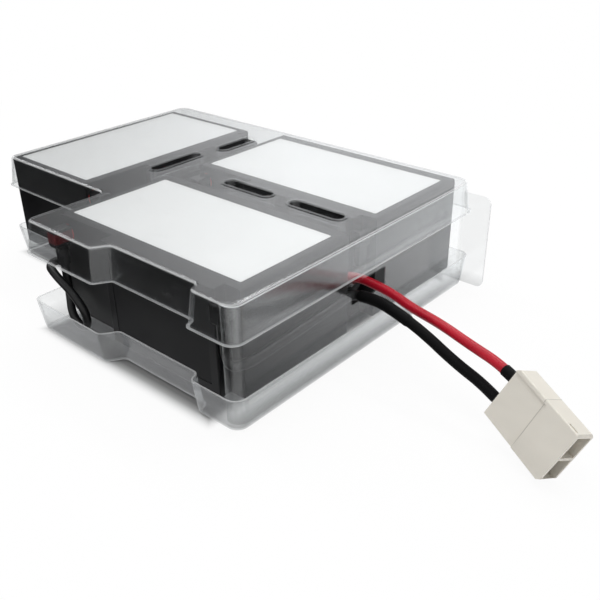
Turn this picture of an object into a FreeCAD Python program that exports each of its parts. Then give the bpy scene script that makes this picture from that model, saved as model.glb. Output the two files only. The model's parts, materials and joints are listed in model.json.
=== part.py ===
import FreeCAD, Part
import math
import os
import re

import Sketcher

# Battery cartridge for an uninterruptible power supply: three sealed 12 V batteries lie on their
# sides between two thermoformed clear trays, with a clear end cover that ends in a pull tab.
# Millimetres, +Z up, origin at the centre of the footprint on the surface it stands on.
# +X points to the end cover and the plug, +Y to the straight far wall.

doc = FreeCAD.newDocument("battery_cartridge")
sheet = doc.addObject("Spreadsheet::Sheet", "dims")

SIZES = [
    # battery, standing: length, thickness and height to the deck of its lid
    ("battery_length", 151.0),
    ("battery_thickness", 65.0),
    ("battery_height", 94.0),
    ("lid_height", 14.0),
    ("bay_depth", 8.0),
    ("deck_start", 50.0),
    ("deck_length", 90.0),
    ("battery_edge", 1.6),
    ("cover_recess", 1.2),
    ("cover_plate", 1.0),
    ("cover_margin", 6.0),
    ("cover_gap", 0.2),
    # faston tabs and the sealing rings they stand in
    ("tab_width", 6.35),
    ("tab_sheet", 0.8),
    ("tab_height", 7.6),
    ("tab_hole", 1.8),
    ("tab_hole_height", 4.7),
    ("tab_end", 6.4),
    ("tab_side", 10.4),
    ("seal_radius", 5.2),
    ("seal_depth", 2.0),
    # label on the large face
    ("label_sheet", 0.15),
    ("label_lid_margin", 14.0),
    ("label_end_margin", 5.5),
    ("label_base_margin", 9.0),
    ("label_rim_margin", 4.0),
    ("label_radius", 0.6),
    # how the batteries sit
    ("ride_height", 8.4),
    ("channel_gap", 20.4),
    ("pair_gap", 17.9),
    ("left_gap", 5.6),
    ("end_channel", 8.2),
    ("far_gap", 2.2),
    ("far_step", 9.0),
    ("battery_fit", 0.9),
    # thermoformed trays
    ("sheet_wall", 0.8),
    ("draft", 6.0),
    ("roof_gap", 0.3),
    ("skirt_height", 21.3),
    ("rim_height", 21.6),
    ("rim_out", 3.0),
    ("lip_width", 0.75),
    ("bump_length", 61.6),
    ("bump_slant", 6.3),
    ("bump_depth", 9.6),
    ("cap_length", 29.2),
    ("cap_slant", 1.6),
    ("cap_depth", 6.8),
    ("corner_hollow", 3.0),
    ("corner_cap", 4.2),
    ("corner_tight", 5.0),
    ("corner_mid", 4.5),
    ("corner_bump", 2.6),
    ("corner_wide", 8.0),
    ("roof_round", 2.4),
    ("base_round", 3.6),
    ("moat", 9.0),
    ("platform_round", 3.0),
    # locating pockets of the top tray
    ("pocket_depth", 9.0),
    ("pocket_bead", 1.2),
    ("bead_height", 0.6),
    ("pocket_floor_round", 1.2),
    # end cover with its pull tab
    ("cover_fit", 0.4),
    ("cover_foot", 2.5),
    ("cover_drop", 2.9),
    ("cover_near_fit", 1.5),
    ("cover_flange", 9.0),
    ("cover_round", 6.5),
    ("pull_length", 20.0),
    ("pull_from_far", 6.9),
    ("pull_low", 4.5),
    ("pull_drop", 6.65),
    ("pull_round", 5.0),
    ("pull_bend", 2.0),
    ("cut_margin", 10.0),
    ("notch_gap", 0.9),
    ("outlet_shift", 1.15),
    ("outlet_width", 32.4),
    ("outlet_low", 34.0),
    ("outlet_height", 13.0),
    ("outlet_round", 1.5),
    # wiring
    ("boot_width", 8.4),
    ("boot_height", 12.0),
    ("boot_above", 5.0),
    ("boot_below", 6.5),
    ("boot_round", 2.0),
    ("boot_fit", 0.25),
    ("barrel_diameter", 7.8),
    ("barrel_reach", 18.0),
    ("jumper_diameter", 5.0),
    ("lead_diameter", 5.6),
    # plug, lying along its own X axis from the wires to its mouth
    ("plug_length", 44.0),
    ("plug_width", 31.0),
    ("plug_thick", 12.5),
    ("plug_recess", 1.2),
    ("plug_recess_length", 23.0),
    ("plug_lip", 2.2),
    ("plug_chamfer", 2.2),
    ("plug_edge", 0.8),
    ("plug_notch_width", 1.4),
    ("plug_notch_length", 5.5),
    ("plug_notch_depth", 0.7),
    ("socket_width", 13.0),
    ("socket_height", 10.3),
    ("socket_depth", 15.0),
    ("socket_pitch", 14.6),
    ("bore_fit", 0.2),
    ("bore_depth", 8.0),
    ("contact_width", 7.6),
    ("contact_sheet", 1.2),
    ("contact_length", 9.0),
]

DERIVED = [
    ("tan_draft", "tan(draft * 1 deg)"),
    ("wall_out", "battery_fit + sheet_wall"),
    ("skirt_out", "skirt_height * tan_draft"),
    ("base_in", "rim_height * tan_draft"),
    ("bump_k", "tan(atan(bump_depth / bump_slant) / 2)"),
    ("cap_k", "tan(atan(cap_depth / cap_slant) / 2)"),
    # planes along X, from the left rim of the bottom tray to the end of the pull tab
    ("span_x", "rim_out + wall_out + battery_height + channel_gap + battery_length + end_channel"
               " + sheet_wall + pull_length"),
    ("x_a0", "0 - span_x / 2 + rim_out + wall_out"),
    ("x_a1", "x_a0 + battery_height"),
    ("x_c0", "x_a1 + channel_gap"),
    ("x_c1", "x_c0 + battery_length"),
    ("x_cover", "x_c1 + end_channel + sheet_wall"),
    ("x_end", "x_cover + cover_fit + sheet_wall"),
    ("x_pull", "x_cover + pull_length"),
    ("x_step", "x_c0 - left_gap - sheet_wall"),
    ("x_left", "x_a0 - wall_out"),
    ("x_cap", "x_end - cap_length"),
    # planes along Y, from the rim of the near bump to the rim of the far wall
    ("span_y", "rim_out + bump_depth + wall_out + 2 * battery_height + pair_gap + far_gap"
               " + sheet_wall + rim_out"),
    ("y_bump", "0 - span_y / 2 + rim_out"),
    ("y_near", "y_bump + bump_depth"),
    ("y_cap", "y_near - cap_depth"),
    ("y_c0", "y_near + wall_out"),
    ("y_c1", "y_c0 + battery_height"),
    ("y_b0", "y_c1 + pair_gap"),
    ("y_b1", "y_b0 + battery_height"),
    ("y_far", "y_b1 + far_gap + sheet_wall"),
    ("y_a0", "y_b1 - far_step - battery_length"),
    ("y_a1", "y_a0 + battery_length"),
    ("y_step", "y_a0 - wall_out"),
    # labels
    ("label_length", "battery_length - 2 * label_end_margin"),
    ("label_width", "battery_height - label_lid_margin - label_base_margin"),
    ("label_wide", "battery_height - label_lid_margin - label_rim_margin"),
    # heights
    ("z_top", "ride_height + battery_thickness + label_sheet + roof_gap + sheet_wall"),
    ("z_face", "ride_height + battery_thickness"),
    ("z_skirt", "z_top - skirt_height"),
    ("y_pull", "y_far - pull_from_far"),
    ("y_cover", "y_cap + sheet_wall + cover_near_fit"),
    ("z_cover", "z_top - cover_drop"),
    ("pull_top", "z_top - pull_drop"),
    ("y_outlet", "(y_c1 + y_b0) / 2 - outlet_shift"),
]

ALIASES = {}
for number, (alias, value) in enumerate(SIZES + DERIVED, start=1):
    ALIASES[alias] = "A%d" % number

WORD = re.compile(r"[a-z_][a-z_0-9]*")


def linked(text, prefix):
    """The formula with every size's name given the prefix that finds it in the sheet."""
    return WORD.sub(lambda word: prefix + word.group(0) if word.group(0) in ALIASES else word.group(0), text)


for alias, value in SIZES:
    sheet.set(ALIASES[alias], str(value))
    sheet.setAlias(ALIASES[alias], alias)
for alias, formula in DERIVED:
    sheet.set(ALIASES[alias], "=" + linked(formula, ""))
    sheet.setAlias(ALIASES[alias], alias)
doc.recompute()

PARTS = []


def size(alias):
    """The value of one size in the sheet."""
    value = sheet.get(alias)
    return float(getattr(value, "Value", value))


def bind(thing, where, formula):
    thing.setExpression(where, linked(formula, "dims."))


def sub_part(thing, label):
    """Marks a finished object of the document as a piece of the cartridge."""
    thing.Label = label
    PARTS.append(thing)
    return thing


def place(thing, x, y, z, turn=None):
    if turn is not None:
        thing.Placement = FreeCAD.Placement(FreeCAD.Vector(0, 0, 0), turn)
    for axis, formula in zip("xyz", (x, y, z)):
        bind(thing, "Placement.Base." + axis, formula)


def plane_of(body, role):
    return [plane for plane in body.Origin.OriginFeatures if plane.Role == role][0]


def polygon_sketch(body, name, role, height, corners):
    """A closed sketch whose corners are bound to the sheet, at a height above an origin plane."""
    drawing = body.newObject("Sketcher::SketchObject", name)
    drawing.AttachmentSupport = [(plane_of(body, role), "")]
    drawing.MapMode = "FlatFace"
    bind(drawing, "AttachmentOffset.Base.z", height)
    count = len(corners)
    ring = []
    for index in range(count):
        angle = 2 * math.pi * index / count
        ring.append(FreeCAD.Vector(50 * math.cos(angle), 50 * math.sin(angle), 0))
    for index in range(count):
        drawing.addGeometry(Part.LineSegment(ring[index], ring[(index + 1) % count]))
    for index in range(count):
        drawing.addConstraint(Sketcher.Constraint("Coincident", index, 2, (index + 1) % count, 1))
    for index, (across, along) in enumerate(corners):
        for kind, formula in (("DistanceX", across), ("DistanceY", along)):
            number = drawing.addConstraint(Sketcher.Constraint(kind, -1, 1, index, 1, 1.0))
            bind(drawing, "Constraints[%d]" % number, formula)
    doc.recompute()
    return drawing


def slot_sketch(body, name, height, length, width):
    """A stadium centred on the origin, length overall along X."""
    drawing = body.newObject("Sketcher::SketchObject", name)
    drawing.AttachmentSupport = [(plane_of(body, "XY_Plane"), "")]
    drawing.MapMode = "FlatFace"
    bind(drawing, "AttachmentOffset.Base.z", height)
    half, radius = 20.0, 5.0
    quarter = math.pi / 2
    vector = FreeCAD.Vector
    drawing.addGeometry(Part.LineSegment(vector(-half, -radius, 0), vector(half, -radius, 0)))
    circle = Part.Circle(vector(half, 0, 0), vector(0, 0, 1), radius)
    drawing.addGeometry(Part.ArcOfCircle(circle, -quarter, quarter))
    drawing.addGeometry(Part.LineSegment(vector(half, radius, 0), vector(-half, radius, 0)))
    circle = Part.Circle(vector(-half, 0, 0), vector(0, 0, 1), radius)
    drawing.addGeometry(Part.ArcOfCircle(circle, quarter, 3 * quarter))
    for first, second in ((0, 1), (1, 2), (2, 3), (3, 0)):
        drawing.addConstraint(Sketcher.Constraint("Tangent", first, 2, second, 1))
    drawing.addConstraint(Sketcher.Constraint("Horizontal", 0))
    drawing.addConstraint(Sketcher.Constraint("Equal", 1, 3))
    drawing.addConstraint(Sketcher.Constraint("Symmetric", 1, 3, 3, 3, -1, 1))
    number = drawing.addConstraint(Sketcher.Constraint("Radius", 1, radius))
    bind(drawing, "Constraints[%d]" % number, width + " / 2")
    number = drawing.addConstraint(Sketcher.Constraint("DistanceX", 3, 3, 1, 3, 2 * half))
    bind(drawing, "Constraints[%d]" % number, "(" + length + ") - (" + width + ")")
    doc.recompute()
    return drawing


def circle_sketch(body, name, role, height, across, along, diameter):
    """A circle on an origin plane, its centre and diameter bound to the sheet."""
    drawing = body.newObject("Sketcher::SketchObject", name)
    drawing.AttachmentSupport = [(plane_of(body, role), "")]
    drawing.MapMode = "FlatFace"
    bind(drawing, "AttachmentOffset.Base.z", height)
    drawing.addGeometry(Part.Circle(FreeCAD.Vector(20, 20, 0), FreeCAD.Vector(0, 0, 1), 5))
    for kind, formula in (("DistanceX", across), ("DistanceY", along)):
        number = drawing.addConstraint(Sketcher.Constraint(kind, -1, 1, 0, 3, 20.0))
        bind(drawing, "Constraints[%d]" % number, formula)
    number = drawing.addConstraint(Sketcher.Constraint("Diameter", 0, 10.0))
    bind(drawing, "Constraints[%d]" % number, diameter)
    doc.recompute()
    return drawing


def pad(body, name, drawing, length, reverse=False):
    feature = body.newObject("PartDesign::Pad", name)
    feature.Profile = drawing
    feature.Reversed = reverse
    bind(feature, "Length", length)
    doc.recompute()
    return feature


def pocket(body, name, drawing, length, reverse=False):
    """Cuts a sketch into the body, and stops if nothing was cut."""
    before = body.Shape.Volume
    feature = body.newObject("PartDesign::Pocket", name)
    feature.Profile = drawing
    feature.Reversed = reverse
    bind(feature, "Length", length)
    doc.recompute()
    if body.Shape.Volume > before - 1e-6:
        raise RuntimeError(name + " cuts nothing")
    return feature


def edges_where(shape, test):
    return ["Edge%d" % (number + 1) for number, edge in enumerate(shape.Edges) if test(edge)]


def fillet(body, name, base, edges, radius):
    if not edges:
        raise RuntimeError(name + " finds no edges")
    feature = body.newObject("PartDesign::Fillet", name)
    feature.Base = (base, edges)
    bind(feature, "Radius", radius)
    doc.recompute()
    return feature


def upright_edges(shape, spots):
    """Edges that start at one of the spots and leave its horizontal plane."""
    def test(edge):
        ends = [vertex.Point for vertex in edge.Vertexes]
        if len(ends) != 2 or abs(ends[0].z - ends[1].z) < 0.01:
            return False
        return any(end.distanceToPoint(spot) < 0.01 for end in ends for spot in spots)
    return edges_where(shape, test)


def level_edges(shape, height):
    """Edges that lie in the horizontal plane at a height."""
    def test(edge):
        middle = edge.valueAt((edge.FirstParameter + edge.LastParameter) / 2)
        return all(abs(point.z - height) < 0.01 for point in [middle] + [end.Point for end in edge.Vertexes])
    return edges_where(shape, test)


def top_of(shape):
    return max(vertex.Z for vertex in shape.Vertexes)


def bottom_of(shape):
    return min(vertex.Z for vertex in shape.Vertexes)


def block(name, corners, low, high, rounds, lean=None, end_round=None, end="high"):
    """A body that stands on an outline from one height to another, with rounded corners.

    lean drafts its sides "in" or "out" on the way up; rounds gives (radius, corner numbers);
    end_round rounds the rim of the end face named by end.
    """
    body = doc.addObject("PartDesign::Body", name)
    plan = polygon_sketch(body, name + "_plan", "XY_Plane", low, corners)
    feature = pad(body, name + "_pad", plan, "(" + high + ") - (" + low + ")")
    base = plan.Placement.Base.z
    if lean:
        sides = []
        for number, face in enumerate(feature.Shape.Faces, start=1):
            if abs(face.normalAt(0, 0).z) < 0.01:
                sides.append("Face%d" % number)
            elif top_of(face) < base + 0.01:
                foot = "Face%d" % number
        drafted = body.newObject("PartDesign::Draft", name + "_draft")
        drafted.Base = (feature, sides)
        drafted.NeutralPlane = (feature, [foot])
        drafted.Reversed = lean == "out"
        bind(drafted, "Angle", "draft * 1 deg")
        doc.recompute()
        feature = drafted
    for number, (radius, indexes) in enumerate(rounds):
        spots = [plan.Placement.multVec(plan.Geometry[index].StartPoint) for index in indexes]
        edges = upright_edges(feature.Shape, spots)
        feature = fillet(body, "%s_corner%d" % (name, number), feature, edges, radius)
    if end_round:
        level = base if end == "low" else top_of(feature.Shape)
        edges = level_edges(feature.Shape, level)
        fillet(body, name + "_end", feature, edges, end_round)
    return body


def boolean(kind, name, *shapes):
    thing = doc.addObject("Part::" + kind, name)
    if kind == "Cut":
        thing.Base, thing.Tool = shapes
    else:
        thing.Shapes = list(shapes)
    doc.recompute()
    return thing


def box(name, x, y, z, length, width, height):
    """A box whose lowest corner and sides are formulas."""
    thing = doc.addObject("Part::Box", name)
    place(thing, x, y, z)
    bind(thing, "Length", length)
    bind(thing, "Width", width)
    bind(thing, "Height", height)
    return thing


# ---------------------------------------------------------------- the trays' shared outline

def tray_outline(grow):
    """Corners of the trays' plan, counter-clockwise from the near left bump, grown outwards."""
    g = " + (%s)" % grow
    s = " - (%s)" % grow
    bump = " + (%s) * bump_k" % grow
    cap = " - (%s) * cap_k" % grow
    return [
        ("x_step" + s, "y_bump" + s),
        ("x_step + bump_length" + bump, "y_bump" + s),
        ("x_step + bump_length + bump_slant" + bump, "y_near" + s),
        ("x_cap - cap_slant" + cap, "y_near" + s),
        ("x_cap" + cap, "y_cap" + s),
        ("x_end" + g, "y_cap" + s),
        ("x_end" + g, "y_far" + g),
        ("x_left" + s, "y_far" + g),
        ("x_left" + s, "y_step" + s),
        ("x_step" + s, "y_step" + s),
    ]


def platform_outline(grow):
    """Plan of the raised floor under the batteries, a moat's width inside the trays' walls."""
    g = " + (%s)" % grow
    s = " - (%s)" % grow
    return [
        ("x_step + moat" + s, "y_near + moat" + s),
        ("x_end - moat" + g, "y_near + moat" + s),
        ("x_end - moat" + g, "y_far - moat" + g),
        ("x_left + moat" + s, "y_far - moat" + g),
        ("x_left + moat" + s, "y_step + moat" + s),
        ("x_step + moat" + s, "y_step + moat" + s),
    ]


def outer_rounds(bump):
    """Radii at the outline's corners, with the named radius at the two ends of the bump's slant."""
    return [
        ("corner_hollow", [3]),
        ("corner_cap", [4]),
        ("corner_tight", [0, 8]),
        (bump, [1, 2]),
        ("corner_mid", [9]),
        ("corner_wide", [5, 6, 7]),
    ]


def inner_rounds(bump):
    """The same corners on the inside of the sheet."""
    return [
        ("corner_hollow + sheet_wall", [3]),
        ("corner_cap - sheet_wall", [4]),
        ("corner_tight - sheet_wall", [0, 8]),
        (bump + " - sheet_wall", [1]),
        (bump + " + sheet_wall", [2]),
        ("corner_mid + sheet_wall", [9]),
        ("corner_wide - sheet_wall", [5, 6, 7]),
    ]


def stadium(name, x, y, top, depth, length, width, turned, floor_round=None):
    """A stadium-shaped plug that hangs down from a height, along X or turned along Y."""
    body = doc.addObject("PartDesign::Body", name)
    drawing = slot_sketch(body, name + "_plan", "0", length, width)
    feature = pad(body, name + "_pad", drawing, depth, reverse=True)
    if floor_round:
        edges = level_edges(feature.Shape, bottom_of(feature.Shape))
        fillet(body, name + "_floor", feature, edges, floor_round)
    turn = FreeCAD.Rotation(FreeCAD.Vector(0, 0, 1), 90 if turned else 0)
    place(body, x, y, top, turn)
    return body


# centre, overall length and width of each locating pocket, and whether it runs along Y
POCKETS = [
    ("x_c0 + 61.2", "y_c1 + 12.0", "41.5", "10.6", False),
    ("x_c0 + 117.2", "y_c1 + 12.0", "42.0", "10.6", False),
    ("x_c0 - 13.4", "y_a0 + 65.3", "44.5", "11.0", True),
    ("x_c0 - 8.6", "y_a0 + 118.8", "36.0", "11.0", True),
]


def make_top_tray():
    outer = block("top_outer", tray_outline("skirt_out"), "z_skirt", "z_top",
                  outer_rounds("corner_bump"), "in", "roof_round")
    lip = block("top_lip", tray_outline("skirt_out + lip_width"), "z_skirt", "z_skirt + sheet_wall",
                outer_rounds("corner_bump"))
    inner = block("top_inner", tray_outline("skirt_out + tan_draft - sheet_wall"), "z_skirt - 1",
                  "z_top - sheet_wall", inner_rounds("corner_bump"), "in", "roof_round - sheet_wall")
    shell = boolean("Cut", "top_shell", boolean("MultiFuse", "top_solid", outer, lip), inner)
    plugs = []
    voids = []
    for number, (x, y, length, width, turned) in enumerate(POCKETS, start=1):
        name = "pocket_%d" % number
        plugs.append(stadium(name + "_wall", x, y, "z_top", "pocket_depth", length, width, turned,
                             "pocket_floor_round"))
        plugs.append(stadium(name + "_bead", x, y, "z_top + bead_height", "bead_height + sheet_wall / 2",
                             length + " + 2 * pocket_bead", "(" + width + " + 2 * pocket_bead)", turned))
        voids.append(stadium(name + "_void", x, y, "z_top + bead_height + 1",
                             "bead_height + 1 + pocket_depth - sheet_wall",
                             length + " - 2 * sheet_wall", "(" + width + " - 2 * sheet_wall)", turned))
    notch = box("top_notch", "x_cover - sheet_wall", "y_pull - notch_gap", "z_skirt - 1",
                "lip_width + cut_margin", "sheet_wall + 2 * notch_gap", "pull_top + notch_gap - z_skirt + 1")
    whole = boolean("MultiFuse", "top_with_pockets", shell, *plugs)
    tools = boolean("MultiFuse", "top_voids", notch, *voids)
    return sub_part(boolean("Cut", "top_tray_body", whole, tools), "top_tray")


def make_bottom_tray():
    outer = block("base_outer", tray_outline("rim_out - base_in"), "0", "rim_height",
                  outer_rounds("corner_mid"), "out", "base_round", "low")
    inner = block("base_inner", tray_outline("rim_out - base_in + sheet_wall * tan_draft - sheet_wall"),
                  "sheet_wall", "rim_height + 1", inner_rounds("corner_mid"), "out", "base_round - sheet_wall",
                  "low")
    shell = boolean("Cut", "base_shell", outer, inner)
    floor_rounds = [("platform_round", [0, 1, 2, 3, 4, 5])]
    floor = block("base_platform", platform_outline("ride_height * tan_draft"), "0", "ride_height",
                  floor_rounds, "in", "sheet_wall")
    under = block("base_under", platform_outline("(ride_height + 1) * tan_draft - sheet_wall"), "0 - 1",
                  "ride_height - sheet_wall", floor_rounds, "in")
    notch = box("base_notch", "x_cover - sheet_wall", "y_pull - notch_gap", "pull_low - notch_gap",
                "rim_out + cut_margin", "sheet_wall + 2 * notch_gap", "rim_height")
    whole = boolean("MultiFuse", "base_whole", shell, floor)
    tools = boolean("MultiFuse", "base_voids", under, notch)
    return sub_part(boolean("Cut", "bottom_tray_body", whole, tools), "bottom_tray")


def make_end_cover():
    """A bent sheet: a short near flange, the end wall with the wire outlet, and the pull tab."""
    plan = [
        ("x_cover - cover_flange", "y_cover"),
        ("x_cover", "y_cover"),
        ("x_cover", "y_pull"),
        ("x_pull", "y_pull"),
        ("x_pull", "y_pull + sheet_wall"),
        ("x_cover - sheet_wall", "y_pull + sheet_wall"),
        ("x_cover - sheet_wall", "y_cover + sheet_wall"),
        ("x_cover - cover_flange", "y_cover + sheet_wall"),
    ]
    rounds = [
        ("cover_round", [1]),
        ("cover_round - sheet_wall", [6]),
        ("pull_bend", [2]),
        ("pull_bend + sheet_wall", [5]),
    ]
    sheet_body = block("cover_sheet", plan, "cover_foot", "z_cover", rounds)
    trim = ("x_cover + 0.01", "y_pull - cut_margin / 2")
    above = box("cover_above", *trim, "pull_top", "pull_length + 1", "cut_margin", "z_cover - pull_top + 1")
    below = box("cover_below", *trim, "0", "pull_length + 1", "cut_margin", "pull_low")
    outlet = doc.addObject("PartDesign::Body", "cover_outlet")
    window = polygon_sketch(outlet, "cover_outlet_plan", "YZ_Plane", "0", [
        ("0 - outlet_width / 2", "outlet_low"),
        ("outlet_width / 2", "outlet_low"),
        ("outlet_width / 2", "outlet_low + outlet_height"),
        ("0 - outlet_width / 2", "outlet_low + outlet_height"),
    ])
    feature = pad(outlet, "cover_outlet_pad", window, "cut_margin")
    across = edges_where(feature.Shape, lambda edge: edge.BoundBox.XLength > size("cut_margin") / 2)
    fillet(outlet, "cover_outlet_round", feature, across, "outlet_round")
    place(outlet, "x_cover - cut_margin / 2", "y_outlet", "0")
    tools = boolean("MultiFuse", "cover_voids", above, below, outlet)
    cut = boolean("Cut", "cover_cut", sheet_body, tools)
    rounded = doc.addObject("Part::Fillet", "end_cover_body")
    rounded.Base = cut
    end = size("x_pull")
    picked = []
    for number, edge in enumerate(cut.Shape.Edges, start=1):
        bounds = edge.BoundBox
        if bounds.XMin > end - 0.01 and bounds.YLength > 0.5 and bounds.ZLength < 0.01:
            picked.append((number, size("pull_round"), size("pull_round")))
    rounded.Edges = picked
    doc.recompute()
    return sub_part(rounded, "end_cover")


# ---------------------------------------------------------------- batteries

LYING = FreeCAD.Rotation(0, 0, 90)
LYING_TURNED = FreeCAD.Rotation(90, 0, 90)

# name, lowest corner once it lies on its side, and its turn
BATTERIES = [
    ("battery_1", "x_a0", "y_a0", LYING_TURNED),
    ("battery_2", "x_c0", "y_b1", LYING),
    ("battery_3", "x_c0", "y_c1", LYING),
]


def rectangle(x0, y0, x1, y1):
    return [(x0, y0), (x1, y0), (x1, y1), (x0, y1)]


def seat(thing, battery):
    name, x, y, turn = battery
    place(thing, x, y, "ride_height", turn)


def make_case(battery):
    body = doc.addObject("PartDesign::Body", battery[0] + "_case_body")
    plan = polygon_sketch(body, body.Name + "_plan", "XY_Plane", "0",
                          rectangle("0", "0", "battery_length", "battery_thickness"))
    feature = pad(body, body.Name + "_pad", plan, "battery_height - lid_height")
    spots = [item.StartPoint for item in plan.Geometry]
    feature = fillet(body, body.Name + "_sides", feature, upright_edges(feature.Shape, spots), "battery_edge")
    fillet(body, body.Name + "_bottom", feature, level_edges(feature.Shape, 0.0), "battery_edge / 2")
    seat(body, battery)
    return sub_part(body, battery[0] + "_case")


def tab_spots():
    """Where the two tabs stand on a battery's lid, positive first."""
    return [("positive", "tab_end"), ("negative", "battery_length - tab_end")]


def make_lid(battery):
    """Lid with a raised deck between two terminal bays, a seat for the vent cover and seal wells."""
    body = doc.addObject("PartDesign::Body", battery[0] + "_lid_body")
    plan = polygon_sketch(body, body.Name + "_plan", "XY_Plane", "battery_height - lid_height",
                          rectangle("0", "0", "battery_length", "battery_thickness"))
    feature = pad(body, body.Name + "_pad", plan, "lid_height")
    spots = [plan.Placement.multVec(item.StartPoint) for item in plan.Geometry]
    fillet(body, body.Name + "_sides", feature, upright_edges(feature.Shape, spots), "battery_edge")
    for name, x0, x1 in (("near_bay", "0 - 1", "deck_start"),
                         ("far_bay", "deck_start + deck_length", "battery_length + 1")):
        bay = polygon_sketch(body, body.Name + "_" + name, "XY_Plane", "battery_height",
                             rectangle(x0, "0 - 1", x1, "battery_thickness + 1"))
        pocket(body, body.Name + "_" + name + "_cut", bay, "bay_depth")
    rest = polygon_sketch(body, body.Name + "_rest", "XY_Plane", "battery_height",
                          rectangle("deck_start + cover_margin", "cover_margin",
                                    "deck_start + deck_length - cover_margin",
                                    "battery_thickness - cover_margin"))
    feature = pocket(body, body.Name + "_rest_cut", rest, "cover_recess")
    top = size("battery_height")
    first, last = size("deck_start"), size("deck_start") + size("deck_length")

    def deck_rim(edge):
        bounds = edge.BoundBox
        flat = abs(bounds.ZMin - top) < 0.01 and abs(bounds.ZMax - top) < 0.01
        ends = abs(bounds.XMin - first) < 0.01 or abs(bounds.XMin - last) < 0.01
        return flat and ends and bounds.XLength < 0.01

    fillet(body, body.Name + "_deck_rim", feature, edges_where(feature.Shape, deck_rim), "battery_edge / 2")
    seat(body, battery)
    wells = []
    for sign, x in tab_spots():
        well = doc.addObject("Part::Cylinder", body.Name + "_" + sign + "_well")
        bind(well, "Radius", "seal_radius")
        bind(well, "Height", "seal_depth + 1")
        place(well, x, "battery_thickness - tab_side", "battery_height - bay_depth - seal_depth")
        wells.append(well)
    tools = boolean("MultiFuse", battery[0] + "_wells", *wells)
    seat(tools, battery)
    return sub_part(boolean("Cut", battery[0] + "_lid_cut", body, tools), battery[0] + "_lid")


def make_vent_cover(battery):
    body = doc.addObject("PartDesign::Body", battery[0] + "_vent_body")
    edge = "cover_margin + cover_gap"
    plan = polygon_sketch(body, body.Name + "_plan", "XY_Plane", "battery_height - cover_recess",
                          rectangle("deck_start + " + edge, edge,
                                    "deck_start + deck_length - (" + edge + ")",
                                    "battery_thickness - (" + edge + ")"))
    feature = pad(body, body.Name + "_pad", plan, "cover_plate")
    spots = [plan.Placement.multVec(item.StartPoint) for item in plan.Geometry]
    fillet(body, body.Name + "_sides", feature, upright_edges(feature.Shape, spots), "battery_edge")
    seat(body, battery)
    return sub_part(body, battery[0] + "_vent_cover")


def make_terminals(battery):
    for sign, x in tab_spots():
        start = "battery_height - bay_depth - seal_depth"
        seal = doc.addObject("Part::Cylinder", "%s_%s_seal_disc" % (battery[0], sign))
        bind(seal, "Radius", "seal_radius")
        bind(seal, "Height", "seal_depth")
        place(seal, x, "battery_thickness - tab_side", start)
        slot = box("%s_%s_slot" % (battery[0], sign), x + " - tab_sheet / 2",
                   "battery_thickness - tab_side - tab_width / 2", start,
                   "tab_sheet", "tab_width", "seal_depth + 1")
        ring = boolean("Cut", "%s_%s_seal_body" % (battery[0], sign), seal, slot)
        seat(ring, battery)
        sub_part(ring, "%s_%s_seal" % (battery[0], sign))
        body = doc.addObject("PartDesign::Body", "%s_%s_tab_body" % (battery[0], sign))
        middle = "battery_thickness - tab_side"
        crown = start + " + seal_depth + tab_height"
        plan = polygon_sketch(body, body.Name + "_face", "YZ_Plane", x + " - tab_sheet / 2", [
            (middle + " - tab_width / 2", start),
            (middle + " + tab_width / 2", start),
            (middle + " + tab_width / 2", crown + " - tab_width / 4"),
            (middle + " + tab_width / 4", crown),
            (middle + " - tab_width / 4", crown),
            (middle + " - tab_width / 2", crown + " - tab_width / 4"),
        ])
        pad(body, body.Name + "_pad", plan, "tab_sheet")
        hole = circle_sketch(body, body.Name + "_hole", "YZ_Plane", x + " + tab_sheet / 2",
                             middle, start + " + seal_depth + tab_hole_height", "tab_hole")
        pocket(body, body.Name + "_hole_cut", hole, "tab_sheet")
        seat(body, battery)
        sub_part(body, "%s_%s_terminal" % (battery[0], sign))


def make_label(name, x, y, length, width):
    body = doc.addObject("PartDesign::Body", name + "_body")
    plan = polygon_sketch(body, name + "_plan", "XY_Plane", "0", rectangle("0", "0", length, width))
    feature = pad(body, name + "_pad", plan, "label_sheet")
    spots = [item.StartPoint for item in plan.Geometry]
    fillet(body, name + "_corner", feature, upright_edges(feature.Shape, spots), "label_radius")
    place(body, x, y, "z_face")
    return sub_part(body, name)


# ---------------------------------------------------------------- wiring

def rounded_route(points, end_share):
    """Straight runs joined by tangent arcs, each as large as its two runs allow.

    An arc takes up to 0.45 of an inner run, and end_share of the first or the last one.
    """
    corners = [FreeCAD.Vector(*point) for point in points]
    runs = [after - before for before, after in zip(corners, corners[1:])]
    room = [0.45 * run.Length for run in runs]
    room[0] = end_share * runs[0].Length
    room[-1] = end_share * runs[-1].Length
    edges = []
    radii = []
    start = corners[0]
    for index in range(1, len(runs)):
        corner = corners[index]
        inward = runs[index - 1] * -1
        outward = runs[index] * 1
        inward.normalize()
        outward.normalize()
        reach = min(room[index - 1], room[index])
        half_turn = (math.pi - inward.getAngle(outward)) / 2
        radius = reach / math.tan(half_turn)
        middle = inward + outward
        middle.normalize()
        first = corner + inward * reach
        last = corner + outward * reach
        nearest = corner + middle * (radius / math.cos(half_turn) - radius)
        edges.append(Part.LineSegment(start, first).toShape())
        edges.append(Part.Arc(first, nearest, last).toShape())
        radii.append(radius)
        start = last
    edges.append(Part.LineSegment(start, corners[-1]).toShape())
    return Part.Wire(edges), radii


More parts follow.
